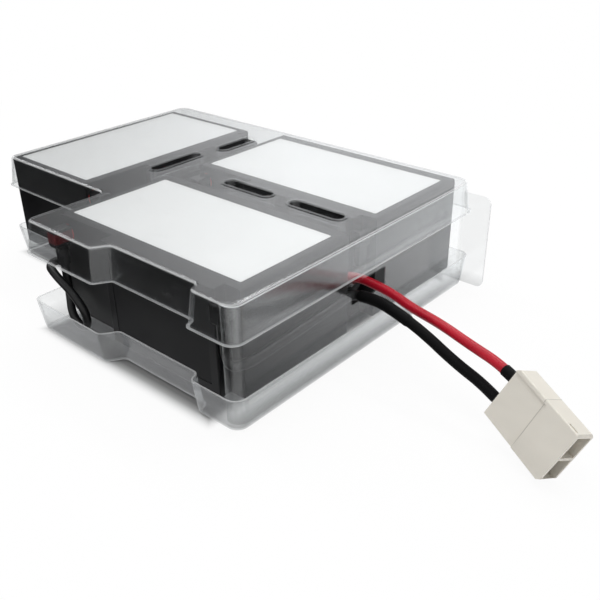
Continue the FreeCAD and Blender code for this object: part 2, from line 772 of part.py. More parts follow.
def tube(name, points, diameter, end_share):
    """A round wire swept along its route, with its section bound to a size."""
    wire, radii = rounded_route(points, end_share)
    spine = doc.addObject("Part::Feature", name + "_route")
    spine.Shape = wire
    section = doc.addObject("Part::Circle", name + "_section")
    bind(section, "Radius", diameter + " / 2")
    along = wire.Edges[0].tangentAt(wire.Edges[0].FirstParameter)
    turn = FreeCAD.Rotation(FreeCAD.Vector(0, 0, 1), along)
    section.Placement = FreeCAD.Placement(FreeCAD.Vector(*points[0]), turn)
    sweep = doc.addObject("Part::Sweep", name + "_sweep")
    sweep.Sections = [section]
    sweep.Spine = (spine, ["Edge%d" % (number + 1) for number in range(len(wire.Edges))])
    sweep.Solid = True
    sweep.Frenet = False
    sweep.Transition = "Right corner"
    doc.recompute()
    ideal = math.pi * size(diameter) ** 2 / 4 * wire.Length
    print("%s: length %.1f, radii %s, volume %.4f of section times length" % (
        name, wire.Length, " ".join("%.1f" % radius for radius in radii), sweep.Shape.Volume / ideal))
    return sweep


def boot_places():
    """Where each tab's centre line leaves its bay floor, and which way the tab points."""
    side = "ride_height + battery_thickness - tab_side"
    return [
        ("boot_1_positive", "x_a1 - bay_depth", "y_a0 + tab_end", side, LYING_TURNED),
        ("boot_1_negative", "x_a1 - bay_depth", "y_a1 - tab_end", side, LYING_TURNED),
        ("boot_2_positive", "x_c0 + tab_end", "y_b0 + bay_depth", side, LYING),
        ("boot_2_negative", "x_c1 - tab_end", "y_b0 + bay_depth", side, LYING),
        ("boot_3_positive", "x_c0 + tab_end", "y_c0 + bay_depth", side, LYING),
        ("boot_3_negative", "x_c1 - tab_end", "y_c0 + bay_depth", side, LYING),
    ]


def make_boots():
    """Flag-shaped insulating boots: a head that slips over the tab, and a barrel for the wire."""
    for name, x, y, z, turn in boot_places():
        body = doc.addObject("PartDesign::Body", name + "_body")
        plan = polygon_sketch(body, name + "_plan", "XY_Plane", "boot_fit",
                              rectangle("0 - boot_width / 2", "0 - boot_below", "boot_width / 2", "boot_above"))
        feature = pad(body, name + "_pad", plan, "boot_height")
        spots = [plan.Placement.multVec(item.StartPoint) for item in plan.Geometry]
        feature = fillet(body, name + "_sides", feature, upright_edges(feature.Shape, spots), "boot_round")
        rim = level_edges(feature.Shape, top_of(feature.Shape))
        fillet(body, name + "_top", feature, rim, "boot_round / 2")
        barrel = circle_sketch(body, name + "_barrel", "XZ_Plane", "barrel_reach",
                               "0", "boot_fit + boot_height / 2", "barrel_diameter")
        pad(body, name + "_barrel_pad", barrel, "barrel_reach - boot_below + boot_round", reverse=True)
        mouth = polygon_sketch(body, name + "_mouth", "XY_Plane", "boot_fit",
                               rectangle("0 - tab_sheet / 2 - boot_fit", "0 - tab_width / 2 - boot_fit",
                                         "tab_sheet / 2 + boot_fit", "tab_width / 2 + boot_fit"))
        pocket(body, name + "_mouth_cut", mouth, "tab_height + boot_fit", reverse=True)
        place(body, x, y, z, turn)
        sub_part(body, name)
    doc.recompute()


# the two leads after the outlet's plane, from the middle of the outlet and the height it stands on
RED_ROUTE = [(0.0, 6.2, 38.5), (10.8, 6.2, 37.5), (30.0, -0.6, 37.0), (52.5, -7.2, 38.4),
             (74.5, -12.4, 38.3), (96.07, -17.21, 35.62), (112.0, -24.01, 31.07)]
BLACK_ROUTE = [(0.0, -8.8, 37.6), (10.8, -8.8, 39.2), (28.5, -12.9, 38.9), (48.0, -16.2, 35.3),
               (69.5, -18.4, 28.6), (90.66, -21.23, 22.67), (106.6, -28.03, 18.12)]


def from_outlet(points):
    """Points given from the middle of the outlet, in the cartridge's own frame."""
    x, y = size("x_cover"), size("y_outlet")
    return [FreeCAD.Vector(x + point[0], y + point[1], point[2]) for point in points]


def before_outlet(route, x):
    """Where a lead's first run, drawn back through the outlet, crosses the plane at x."""
    start, after = from_outlet(route[:2])
    return start + (after - start) * ((x - start.x) / (after.x - start.x))


def barrel_mouth(boot):
    """Where a wire enters the barrel of a boot."""
    middle = FreeCAD.Vector(0, -size("barrel_reach"), size("boot_fit") + size("boot_height") / 2)
    return doc.getObject(boot + "_body").Placement.multVec(middle)


def routes():
    """Each wire's name, diameter and corner points, from one barrel mouth to the next or to the outlet."""
    x_c0, x_c1, y_c0, y_a0, y_a1 = [size(alias) for alias in ("x_c0", "x_c1", "y_c0", "y_a0", "y_a1")]
    floor = size("ride_height")
    middle = (size("y_c1") + size("y_b0")) / 2
    length = size("battery_length")
    first_plus, first_minus = barrel_mouth("boot_1_positive"), barrel_mouth("boot_1_negative")
    second_plus, second_minus = barrel_mouth("boot_2_positive"), barrel_mouth("boot_2_negative")
    third_plus, third_minus = barrel_mouth("boot_3_positive"), barrel_mouth("boot_3_negative")
    clear = first_plus.z - floor
    beside = -size("jumper_diameter") / 2 - 1.1
    before = y_c0 - size("jumper_diameter") / 2 - 5.1
    outside = x_c1 + size("lead_diameter") / 2 + 0.9
    red_exit, black_exit = from_outlet([RED_ROUTE[0], BLACK_ROUTE[0]])
    red_last, black_last = before_outlet(RED_ROUTE, x_c1 - 1), before_outlet(BLACK_ROUTE, outside)

    def under(mouth, drop):
        return mouth.x, mouth.y, mouth.z - drop

    return [
        ("jumper_2_to_1", "jumper_diameter", [
            under(second_minus, 0), under(second_minus, 10), (x_c1 - 9, middle + 1.5, floor + 0.51 * clear),
            (x_c0 + 0.78 * length, middle - 0.5, floor + 0.41 * clear),
            (x_c0 + 0.44 * length, middle - 2, floor + 0.39 * clear),
            (x_c0 + 12, middle - 1, floor + 0.37 * clear), (x_c0 - 8, middle - 8, floor + 0.39 * clear),
            (x_c0 - 14.5, y_a0 + 32, floor + 0.43 * clear), (x_c0 - 18, y_a0 + 16, floor + 0.51 * clear),
            under(first_plus, 12), under(first_plus, 0)]),
        ("jumper_1_to_3", "jumper_diameter", [
            under(first_minus, 0), under(first_minus, 7), (x_c0 - 12.5, y_a1 - 9.5, floor + 0.77 * clear),
            (x_c0 - 8, y_a1 - 25, floor + 0.76 * clear), (x_c0 - 7, y_a1 - 57, floor + 0.75 * clear),
            (x_c0 - 6.4, (y_c0 + y_a1 + 5) / 2, floor + 0.77 * clear), (x_c0 - 4.2, y_c0 + 62, floor + 0.8 * clear),
            (x_c0 + beside, y_c0 + 38, floor + 0.86 * clear), (x_c0 + beside, y_c0 + 14, floor + 0.93 * clear),
            (x_c0 - 2.2, y_c0 - 4.4, floor + 0.96 * clear), (x_c0 + 10, before, floor + 0.9 * clear),
            (x_c0 + 25, before, floor + 0.72 * clear), (x_c0 + 35, before + 0.2, floor + 0.48 * clear),
            (x_c0 + 36, before + 0.6, floor + 0.2 * clear), (x_c0 + 27, before + 1.6, floor + 0.07 * clear),
            (x_c0 + 14, y_c0 - 3.6, floor + 0.15 * clear), under(third_plus, 19), under(third_plus, 0)]),
        ("red_inner_run", "lead_diameter", [
            under(second_plus, 0), under(second_plus, 6.5), (x_c0 + 18, middle + 2, floor + 0.765 * clear),
            (x_c0 + 0.3 * length, middle - 3.3, floor + 0.755 * clear),
            (x_c0 + 0.57 * length, middle - 4.3, floor + 0.77 * clear),
            (x_c1 - 29, middle - 1.9, floor + 0.79 * clear), (x_c1 - 11, red_exit.y - 3, red_exit.z + 0.6),
            tuple(red_last), tuple(red_exit)]),
        ("black_inner_run", "lead_diameter", [
            under(third_minus, 0), under(third_minus, 8.5), (x_c1, y_c0 - 1, floor + 0.67 * clear),
            (outside, y_c0 + 8, floor + 0.67 * clear), (outside + 0.1, y_c0 + 30, floor + 0.69 * clear),
            (outside + 0.3, y_c0 + 62, floor + 0.74 * clear), tuple(black_last), tuple(black_exit)]),
    ]


def make_wiring():
    for name, diameter, points in routes():
        sub_part(tube(name, points, diameter, 0.9), name)
    for name, points in (("red_lead", RED_ROUTE), ("black_lead", BLACK_ROUTE)):
        sub_part(tube(name, from_outlet(points), "lead_diameter", 0.45), name)


# ---------------------------------------------------------------- plug

PLUG_MOUTH = (134.0, -49.5, 4.1)
PLUG_TURN = FreeCAD.Rotation(-23.1, 14.7, -23.5)


def put_on_plug(thing):
    """Places a piece drawn from the plug's wire end, with its mouth at its resting place."""
    mouth = from_outlet([PLUG_MOUTH])[0]
    back = PLUG_TURN.multVec(FreeCAD.Vector(-size("plug_length"), 0, 0))
    thing.Placement = FreeCAD.Placement(mouth + back, PLUG_TURN)


def make_plug():
    body = doc.addObject("PartDesign::Body", "plug_body")
    plan = polygon_sketch(body, "plug_side", "XZ_Plane", "0", [
        ("0", "0"),
        ("plug_length - plug_chamfer", "0"),
        ("plug_length", "plug_chamfer"),
        ("plug_length", "plug_width - plug_chamfer / 2"),
        ("plug_length - plug_chamfer / 2", "plug_width"),
        ("plug_chamfer", "plug_width"),
        ("0", "plug_width - plug_chamfer"),
    ])
    feature = pad(body, "plug_pad", plan, "plug_thick", reverse=True)
    long_edges = edges_where(feature.Shape, lambda edge: edge.BoundBox.XLength > size("plug_length") / 2)
    fillet(body, "plug_long_edges", feature, long_edges, "plug_edge")
    for name, height in (("near", "0"), ("far", "0 - plug_thick")):
        face = polygon_sketch(body, "plug_recess_" + name, "XZ_Plane", height,
                              rectangle("0 - 1", "0 - 1", "plug_recess_length", "plug_width - plug_lip"))
        pocket(body, "plug_recess_cut_" + name, face, "plug_recess", reverse=(name == "far"))
    for name, sign in (("low", "-"), ("high", "+")):
        middle = "plug_width / 2 " + sign + " socket_pitch / 2"
        mouth = polygon_sketch(body, "plug_socket_" + name, "YZ_Plane", "plug_length", [
            ("plug_thick / 2 - socket_height / 2", middle + " - socket_width / 2"),
            ("plug_thick / 2 + socket_height / 2", middle + " - socket_width / 2"),
            ("plug_thick / 2 + socket_height / 2", middle + " + socket_width / 2"),
            ("plug_thick / 2 - socket_height / 2", middle + " + socket_width / 2"),
        ])
        pocket(body, "plug_socket_cut_" + name, mouth, "socket_depth")
    notch = polygon_sketch(body, "plug_notch", "XY_Plane", "plug_width",
                           rectangle("plug_length - plug_chamfer - plug_notch_length", "plug_edge",
                                     "plug_length - plug_chamfer", "plug_edge + plug_notch_width"))
    pocket(body, "plug_notch_cut", notch, "plug_notch_depth")
    for name, sign in (("low", "-"), ("high", "+")):
        bore = circle_sketch(body, "plug_bore_" + name, "YZ_Plane", "0", "plug_thick / 2",
                             "plug_width / 2 " + sign + " socket_pitch / 2", "lead_diameter + 2 * bore_fit")
        pocket(body, "plug_bore_cut_" + name, bore, "bore_depth", reverse=True)
    put_on_plug(body)
    sub_part(body, "plug_housing")
    for name, sign in (("negative", "-"), ("positive", "+")):
        middle = "plug_width / 2 " + sign + " socket_pitch / 2"
        blade = doc.addObject("PartDesign::Body", "plug_%s_contact_body" % name)
        plan = polygon_sketch(blade, blade.Name + "_end", "YZ_Plane", "plug_length - socket_depth", [
            ("plug_thick / 2 - contact_sheet / 2", middle + " - contact_width / 2"),
            ("plug_thick / 2 + contact_sheet / 2", middle + " - contact_width / 2"),
            ("plug_thick / 2 + contact_sheet / 2", middle + " + contact_width / 2"),
            ("plug_thick / 2 - contact_sheet / 2", middle + " + contact_width / 2"),
        ])
        pad(blade, blade.Name + "_pad", plan, "contact_length")
        put_on_plug(blade)
        sub_part(blade, "plug_%s_contact" % name)


# ---------------------------------------------------------------- assembly

def make_all():
    make_top_tray()
    make_bottom_tray()
    make_end_cover()
    for battery in BATTERIES:
        make_case(battery)
        make_lid(battery)
        make_vent_cover(battery)
        make_terminals(battery)
    make_label("label_1", "x_a0 + label_rim_margin", "y_a0 + label_end_margin", "label_wide", "label_length")
    make_label("label_2", "x_c0 + label_end_margin", "y_b0 + label_lid_margin", "label_length", "label_width")
    make_label("label_3", "x_c0 + label_end_margin", "y_c0 + label_lid_margin", "label_length", "label_width")
    make_boots()
    make_wiring()
    make_plug()


def write_parts():
    doc.recompute()
    for thing in doc.Objects:
        if "Invalid" in thing.State or "Error" in thing.State:
            raise RuntimeError("%s: %s" % (thing.Label, thing.State))
    for thing in PARTS:
        if thing.Shape.isNull() or not thing.Shape.isValid():
            raise RuntimeError(thing.Label + " has no valid shape")
    os.makedirs("parts", exist_ok=True)
    for thing in PARTS:
        thing.Shape.exportStep("parts/%s.step" % thing.Label)
    print("%d parts written" % len(PARTS))


make_all()
write_parts()
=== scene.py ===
"""Looks of a battery cartridge: three batteries between clear formed trays, two leads, a plug."""
import json
from functools import partial
from math import radians

import bpy
from bpy.props import FloatProperty, FloatVectorProperty, PointerProperty
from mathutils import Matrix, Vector

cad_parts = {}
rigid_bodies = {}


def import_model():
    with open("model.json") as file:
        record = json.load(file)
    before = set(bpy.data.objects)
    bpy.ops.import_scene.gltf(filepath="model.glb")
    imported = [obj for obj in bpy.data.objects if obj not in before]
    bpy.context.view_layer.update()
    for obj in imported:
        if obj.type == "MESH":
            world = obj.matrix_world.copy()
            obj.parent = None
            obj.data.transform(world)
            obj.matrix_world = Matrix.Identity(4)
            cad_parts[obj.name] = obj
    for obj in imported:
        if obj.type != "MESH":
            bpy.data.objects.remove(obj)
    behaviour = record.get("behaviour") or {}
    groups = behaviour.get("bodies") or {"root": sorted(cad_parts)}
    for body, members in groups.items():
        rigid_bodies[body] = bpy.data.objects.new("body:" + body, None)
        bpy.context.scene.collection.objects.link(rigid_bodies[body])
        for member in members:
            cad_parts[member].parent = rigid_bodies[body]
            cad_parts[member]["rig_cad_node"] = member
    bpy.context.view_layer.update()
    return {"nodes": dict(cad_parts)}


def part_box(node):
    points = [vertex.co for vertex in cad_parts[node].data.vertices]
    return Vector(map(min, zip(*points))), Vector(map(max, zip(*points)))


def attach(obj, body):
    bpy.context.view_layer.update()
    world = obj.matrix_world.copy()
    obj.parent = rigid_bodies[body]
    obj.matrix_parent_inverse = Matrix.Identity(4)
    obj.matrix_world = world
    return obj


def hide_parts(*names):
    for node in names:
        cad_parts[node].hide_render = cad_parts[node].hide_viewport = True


bl_info = {
    "name": "Battery cartridge",
    "version": (1, 0, 0),
    "blender": (4, 5, 0),
    "location": "View3D > Sidebar > Cartridge",
    "description": "Finishes a battery cartridge with clear trays, wiring and a plug",
    "category": "Object",
}

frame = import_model()
NODES = frame["nodes"]

# the near left corner of the third battery, on the ground: the routes and the camera start from it
CORNER = Vector((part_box("battery_3_lid")[0][0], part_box("battery_3_lid")[0][1], 0.0))

# where each free lead runs, from that corner: out of the cover's outlet and into the plug
RED_ROUTE = [
    (0.1600, 0.1080, 0.0385), (0.1708, 0.1080, 0.0375), (0.1900, 0.1012, 0.0370),
    (0.2125, 0.0946, 0.0384), (0.2345, 0.0894, 0.0362), (0.25607, 0.08459, 0.03472),
    (0.2720, 0.07779, 0.03107),
]
BLACK_ROUTE = [
    (0.1600, 0.0930, 0.0376), (0.1708, 0.0930, 0.0392), (0.1885, 0.0889, 0.0389),
    (0.2080, 0.0856, 0.0353), (0.2295, 0.0834, 0.0266), (0.25066, 0.08057, 0.02177),
    (0.2666, 0.07377, 0.01812),
]
# length of each free lead from the outlet to the plug
RED_LENGTH = 0.1173
BLACK_LENGTH = 0.1117

# each sleeve: where it starts and ends as a share of its route, and its width beside a plain one
RED_SHRINK = (0.86, 0.925, 1.0)
BLACK_SHRINK = (0.32, 0.915, 0.96)
BLACK_OUTLET = (0.0, 0.345, 1.08)

# heights between which the marked boot is red, and how softly that band ends
BOOT_BAND = (0.0595, 0.0662)
BAND_SOFTNESS = 0.0006

# the sheet's share of mirror face on and at a slant, and how steeply it rises between them
MIRROR_FACING = 0.045
MIRROR_SLANT = 0.75
MIRROR_RISE = 3.6

# painted shade: the sheet's tint is darkened below the first of these heights, standing in for the dark
# seen through its thick foot, and is plain above the second
SHADED_FOOT = (0.004, 0.014)
FOOT_SHADE = 0.85

# painted highlight: share of the white painted on the shoulders that upright corners show
CORNER_HIGHLIGHT_SHARE = 0.25

# painted highlight: how strongly white is painted along the trimmed edges of the sheet, where they
# gather light
TRAY_RIM_HIGHLIGHT = 0.35
COVER_TOP_HIGHLIGHT = 0.6
COVER_FLANGE_HIGHLIGHT = 0.12
PULL_TAB_HIGHLIGHT = 0.5

# each lamp: name, place, width and depth, watts, and whether glossy finishes mirror it
LAMPS = (
    ("top_light", (0.1, -0.15, 1.6), (1.4, 1.4), 14, False),
    ("far_strip", (0.0, 0.9, 1.4), (1.6, 0.2), 7, True),
    ("left_strip", (-1.15, 0.0, 1.15), (0.2, 1.6), 5, True),
)

FILM_WIDTH = 36
FLOOR_SIZE = 14
FLOOR_DROP = 0.0002
FLOOR_SHADE = 0.3

# distances from the batteries' footprint over which the paper changes
SHADE_ENDS = (-0.004, 0.006)
WHITE_STARTS = (0.0, 0.008)
GREY_FADES = (0.1, 0.4)
GLOW_FADES = (0.015, 0.045)
# how far the footprint's block stops short of the end cover, and reaches past the open bay
END_INSET = 0.012
BAY_REACH = (0.006, 0.004)

# what the sheet mirrors of the paper: strength close by, then at the near left and the far right
GLOW = 0.75
NEAR_LEFT = 0.03
FAR_RIGHT = 1.3
# X plus Y over which it goes from the near left to the far right
CROSSING = (-0.02, 0.3)

# what it mirrors of the room: the left end's strength, and the directions along X where that ends
DARK_LEVEL = 0.12
DARK_END = (-0.84, -0.62)


# ------------------------------------------------------------------ material helpers

def add_node(tree, kind, values=None, **settings):
    """Adds a node to a tree; values sets or links its inputs by name or number."""
    item = tree.nodes.new(kind)
    for key, value in settings.items():
        setattr(item, key, value)
    for key, value in (values or {}).items():
        if isinstance(value, bpy.types.NodeSocket):
            tree.links.new(value, item.inputs[key])
        else:
            item.inputs[key].default_value = value
    return item


class Shader:
    """A new material's node tree, built from short calls."""

    def __init__(self, name):
        self.material = bpy.data.materials.new(name)
        self.material.use_nodes = True
        self.tree = self.material.node_tree
        self.tree.nodes.clear()
        self.output = self.add("ShaderNodeOutputMaterial")

    def add(self, kind, values=None, **settings):
        return add_node(self.tree, kind, values, **settings)

    def math(self, operation, first, second=0.0):
        return self.add("ShaderNodeMath", {0: first, 1: second}, operation=operation).outputs[0]

    def place(self, stretch=(1, 1, 1)):
        """Object coordinates, stretched along each axis."""
        where = self.add("ShaderNodeTexCoord").outputs["Object"]
        return self.add("ShaderNodeMapping", {"Vector": where, "Scale": stretch}).outputs[0]

    def along(self, axis):
        """The object's own X, Y or Z."""
        where = self.add("ShaderNodeTexCoord").outputs["Object"]
        return self.add("ShaderNodeSeparateXYZ", {0: where}).outputs[axis]

    def noise(self, scale, detail=3.0, rough=0.5, stretch=(1, 1, 1)):
        return self.add("ShaderNodeTexNoise", {
            "Vector": self.place(stretch), "Scale": scale, "Detail": detail,
            "Roughness": rough}).outputs["Fac"]

    def spread(self, factor, low, high, start=0.3, end=0.7):
        """A factor carried from start..end over to low..high."""
        return self.add("ShaderNodeMapRange", {
            "Value": factor, "From Min": start, "From Max": end,
            "To Min": low, "To Max": high}).outputs[0]

    def blend(self, factor, first, second):
        """Two colours mixed by a factor."""
        return self.add("ShaderNodeMix", {0: factor, 6: first, 7: second}, data_type="RGBA").outputs[2]

    def compare(self, value, level, reach):
        """1 where a value lies within reach of a level, else 0."""
        return self.add("ShaderNodeMath", {0: value, 1: level, 2: reach}, operation="COMPARE").outputs[0]

    def bent(self, corner_share):
        """Mask for the painted highlight on bent places: 1 on shoulders between roof and wall,
        corner_share on upright corners, 0 on flat walls.
        """
        normal = self.add("ShaderNodeTexCoord").outputs["Normal"]
        parts = self.add("ShaderNodeSeparateXYZ", {0: normal}).outputs
        sides = [self.math("ABSOLUTE", part) for part in parts]
        shoulder = self.math("MULTIPLY", self.spread(sides[2], 0.0, 1.0, 0.35, 0.6),
                             self.spread(sides[2], 1.0, 0.0, 0.75, 0.95))
        upright = self.math("MINIMUM", sides[0], sides[1])
        corner = self.spread(upright, 0.0, corner_share, 0.2, 0.5)
        return self.math("MAXIMUM", shoulder, corner)

    def bump(self, height, depth, strength=1.0):
        return self.add("ShaderNodeBump", {
            "Height": height, "Distance": depth, "Strength": strength}).outputs[0]

    def finish(self, shader):
        self.tree.links.new(shader, self.output.inputs["Surface"])
        return self.material


def colour(rgb):
    return (rgb[0], rgb[1], rgb[2], 1.0)


def shaded(rgb, share):
    return (rgb[0] * share, rgb[1] * share, rgb[2] * share, 1.0)


def paint(names, material):
    """Gives CAD nodes a finish in place of their plain one."""
    for name in names:
        slots = NODES[name].material_slots
        if not slots:
            NODES[name].data.materials.append(material)
        for slot in slots:
            slot.material = material


def named(*endings):
    return sorted(name for name in NODES if name.endswith(endings))


# ------------------------------------------------------------------ settings

class SheetSettings(bpy.types.PropertyGroup):
    tint: FloatVectorProperty(
        name="Tint", description="Colour that the clear sheet lets through", subtype="COLOR",
        size=3, min=0, max=1, default=(0.975, 0.98, 0.98))
    haze: FloatProperty(
        name="Haze", description="Share of light that one face of the sheet scatters",
        subtype="FACTOR", min=0, max=1, default=0.003)
    roughness: FloatProperty(
        name="Roughness", description="How much the sheet blurs what it mirrors",
        subtype="FACTOR", min=0, max=1, default=0.15)
    # painted highlight: how much white is painted on the sheet's shoulders and corners
    bend: FloatProperty(
        name="Bend", description="Share of light that the sheet scatters where it is bent",
        subtype="FACTOR", min=0, max=1, default=0.3)
    # painted highlight: the width of the white painted along the cut edges
    edge: FloatProperty(
        name="Cut edge", description="How far the bright cut edges of the sheet reach",
        subtype="DISTANCE", unit="LENGTH", min=0.0001, max=0.003, default=0.0003)


class BatterySettings(bpy.types.PropertyGroup):
    case: FloatVectorProperty(
        name="Case", description="Colour of the moulded battery case", subtype="COLOR",
        size=3, min=0, max=1, default=(0.006, 0.006, 0.007))
    label: FloatVectorProperty(
        name="Label", description="Colour of the blank label", subtype="COLOR",
        size=3, min=0, max=1, default=(0.83, 0.83, 0.825))
    grain: FloatProperty(
        name="Grain", description="Depth of the mould's spark-eroded grain",
        subtype="DISTANCE", unit="LENGTH", min=0, max=0.001, default=0.00006)


class WiringSettings(bpy.types.PropertyGroup):
    red: FloatVectorProperty(
        name="Red insulation", description="Colour of the positive lead", subtype="COLOR",
        size=3, min=0, max=1, default=(0.42, 0.006, 0.02))
    black: FloatVectorProperty(
        name="Black insulation", description="Colour of the negative lead and the jumpers",
        subtype="COLOR", size=3, min=0, max=1, default=(0.006, 0.006, 0.0065))
    lead_diameter: FloatProperty(
        name="Lead diameter", description="Outer diameter of the leads' insulation",
        subtype="DISTANCE", unit="LENGTH", min=0.001, max=0.02, default=0.0056)
    sleeve_wall: FloatProperty(
        name="Sleeve wall", description="Wall of the sleeves on the leads",
        subtype="DISTANCE", unit="LENGTH", min=0.0001, max=0.005, default=0.00035)


class PlugSettings(bpy.types.PropertyGroup):
    body: FloatVectorProperty(
        name="Housing", description="Colour of the moulded plug", subtype="COLOR",
        size=3, min=0, max=1, default=(0.72, 0.685, 0.615))
    metal: FloatVectorProperty(
        name="Contact", description="Colour of the contacts", subtype="COLOR",
        size=3, min=0, max=1, default=(0.72, 0.6, 0.36))


class StageSettings(bpy.types.PropertyGroup):
    floor: FloatVectorProperty(
        name="Floor", description="Colour of the pale floor", subtype="COLOR",
        size=3, min=0, max=1, default=(0.85, 0.85, 0.85))
    whiteness: FloatProperty(
        name="Whiteness", description="How white the floor looks away from the object",
        subtype="FACTOR", min=0, max=1, default=0.92)
    room: FloatProperty(
        name="Room light", description="Strength of the even light from the room",
        min=0, max=4, default=0.5)
    lens: FloatProperty(
        name="Lens", description="Focal length in millimetres", min=10, max=200, default=47.18)
    stand: FloatVectorProperty(
        name="Camera place", description="Where the camera stands, from the near corner",
        subtype="TRANSLATION", unit="LENGTH", size=3, default=(0.39437, -0.22391, 0.25384))
    turn: FloatVectorProperty(
        name="Camera turn", description="The camera's turn about X, Y and Z", subtype="EULER",
        size=3, default=(radians(60.91), radians(0.72), radians(41.04)))


# ------------------------------------------------------------------ finishes

def clear_sheet(name, settings, highlight_edges):
    """Formed polyester sheet: faintly wavy, more of a mirror at a slant, with painted highlights where
    it is bent and along its cut edges, and painted shade at its foot.

    highlight_edges lists (axis, level, strength) of the planes that the sheet was trimmed along, where a
    white highlight is painted.
    """
    make = Shader(name)
    waves = make.bump(make.noise(22, 1.5), 0.0008, 0.3)
    scuffs = make.noise(420, 4.0, 0.65, (0.16, 1, 1))
    slant = make.add("ShaderNodeLayerWeight", {"Blend": 0.5, "Normal": waves}).outputs["Facing"]
    steep = make.math("POWER", slant, MIRROR_RISE)
    mirror = make.spread(steep, MIRROR_FACING, MIRROR_SLANT, 0.0, 1.0)
    # painted shade: the tint darkens towards the sheet's foot
    tint = make.blend(make.spread(make.along("Z"), 0.0, 1.0, *SHADED_FOOT),
                      shaded(settings.tint, FOOT_SHADE), colour(settings.tint))
    through = make.add("ShaderNodeBsdfTransparent", {"Color": tint}).outputs[0]
    gloss = make.add("ShaderNodeBsdfAnisotropic", {
        "Color": (0.97, 0.98, 1.0, 1),
        "Roughness": settings.roughness,
        "Normal": waves}).outputs[0]
    pane = make.add("ShaderNodeMixShader", {0: mirror, 1: through, 2: gloss}).outputs[0]
    milk_and_highlight = make.add("ShaderNodeBsdfPrincipled", {
        "Base Color": (0.9, 0.91, 0.915, 1),
        "Roughness": 0.42,
        "Normal": waves}).outputs[0]
    cloud = make.spread(make.noise(9, 2.0), settings.haze * 0.6, settings.haze * 1.4)
    # haze and scuffs are the sheet's own; the painted highlights on bent places and cut edges join them
    # in the same white mix
    haze_and_highlight = make.math("ADD", cloud, make.spread(scuffs, 0.0, 0.025, 0.55, 0.8))
    # painted highlight on the shoulders and corners
    bends = make.math("MULTIPLY", make.bent(CORNER_HIGHLIGHT_SHARE), settings.bend)
    haze_and_highlight = make.math("MAXIMUM", haze_and_highlight, bends)
    # painted highlight along each cut edge
    for axis, level, strength in highlight_edges:
        trimmed = make.compare(make.along(axis), level, settings.edge)
        haze_and_highlight = make.math("MAXIMUM", haze_and_highlight, make.math("MULTIPLY", trimmed, strength))
    return make.finish(make.add("ShaderNodeMixShader", {0: haze_and_highlight, 1: pane, 2: milk_and_highlight}).outputs[0])


def moulded_black(name, rgb, grain, roughness):
    """Black moulded plastic with a fine grain and slightly rubbed, uneven gloss."""
    make = Shader(name)
    skin = make.noise(1700, 2.0, 0.6)
    patches = make.noise(26, 4.0)
    tone = make.blend(make.spread(patches, 0.0, 1.0), shaded(rgb, 0.8), shaded(rgb, 1.45))
    return make.finish(make.add("ShaderNodeBsdfPrincipled", {
        "Base Color": tone,
        "Roughness": make.spread(patches, roughness - 0.06, roughness + 0.09),
        "Specular IOR Level": 0.25,
        "Normal": make.bump(skin, grain)}).outputs[0])


def label_film(settings):
    """Blank white film label: even colour, a very fine tooth and soft undulations from the glue."""
    make = Shader("label_film")
    tooth = make.noise(2600, 2.0)
    glue = make.noise(38, 2.0)
    tone = make.blend(make.spread(glue, 0.0, 1.0),
                      shaded(settings.label, 0.975), colour(settings.label))
    height = make.math("ADD", make.math("MULTIPLY", tooth, 0.12), glue)
    return make.finish(make.add("ShaderNodeBsdfPrincipled", {
        "Base Color": tone,
        "Roughness": make.spread(tooth, 0.36, 0.48),
        "Specular IOR Level": 0.15,
        "Normal": make.bump(height, 0.00012, 0.6)}).outputs[0])


def vinyl(name, rgb, roughness, grain=0.00003):
    """Extruded or dipped vinyl: smooth, with faint draw marks and a soft gloss."""
    make = Shader(name)
    marks = make.noise(900, 3.0, 0.6)
    cast = make.noise(70, 2.0)
    tone = make.blend(make.spread(cast, 0.0, 1.0), shaded(rgb, 0.88), shaded(rgb, 1.12))
    return make.finish(make.add("ShaderNodeBsdfPrincipled", {
        "Base Color": tone,
        "Roughness": make.spread(marks, roughness - 0.05, roughness + 0.08),
        "Specular IOR Level": 0.3,
        "Normal": make.bump(marks, grain)}).outputs[0])


def banded_vinyl(name, band, rgb, low, high):
    """Dipped vinyl with a band of another colour between two heights, its lines slightly uneven."""
    make = Shader(name)
    uneven = make.math("MULTIPLY", make.noise(300, 2.0), BAND_SOFTNESS)
    edge = make.math("ADD", make.along("Z"), uneven)
    inside = make.math("MULTIPLY", make.spread(edge, 0.0, 1.0, low, low + BAND_SOFTNESS),
                       make.spread(edge, 1.0, 0.0, high, high + BAND_SOFTNESS))
    marks = make.noise(900, 3.0, 0.6)
    return make.finish(make.add("ShaderNodeBsdfPrincipled", {
        "Base Color": make.blend(inside, colour(rgb), shaded(band, 0.2)),
        "Roughness": make.spread(marks, 0.25, 0.35),
        "Specular IOR Level": 0.3,
        "Normal": make.bump(marks, 0.00003)}).outputs[0])


def woven_sleeve(name, rgb):
    """Fine ribbed sleeve over a lead."""
    make = Shader(name)
    weave = make.noise(2300, 2.0, 0.7)
    return make.finish(make.add("ShaderNodeBsdfPrincipled", {
        "Base Color": make.blend(make.spread(weave, 0.0, 1.0),
                                 shaded(rgb, 0.3), shaded(rgb, 0.9)),
        "Roughness": make.spread(weave, 0.5, 0.65),
        "Specular IOR Level": 0.08,
        "Normal": make.bump(weave, 0.0001)}).outputs[0])


def plated(name, rgb, roughness):
    """Stamped and plated strip with rolling lines along it."""
    make = Shader(name)
    lines = make.noise(1500, 3.0, 0.6, (0.08, 1, 1))
    dull = make.noise(130, 3.0)
    tone = make.blend(make.spread(dull, 0.0, 1.0), shaded(rgb, 0.75), colour(rgb))
    return make.finish(make.add("ShaderNodeBsdfPrincipled", {
        "Base Color": tone,
        "Metallic": 1.0,
        "Roughness": make.spread(lines, roughness - 0.08, roughness + 0.1),
        "Normal": make.bump(lines, 0.00002)}).outputs[0])


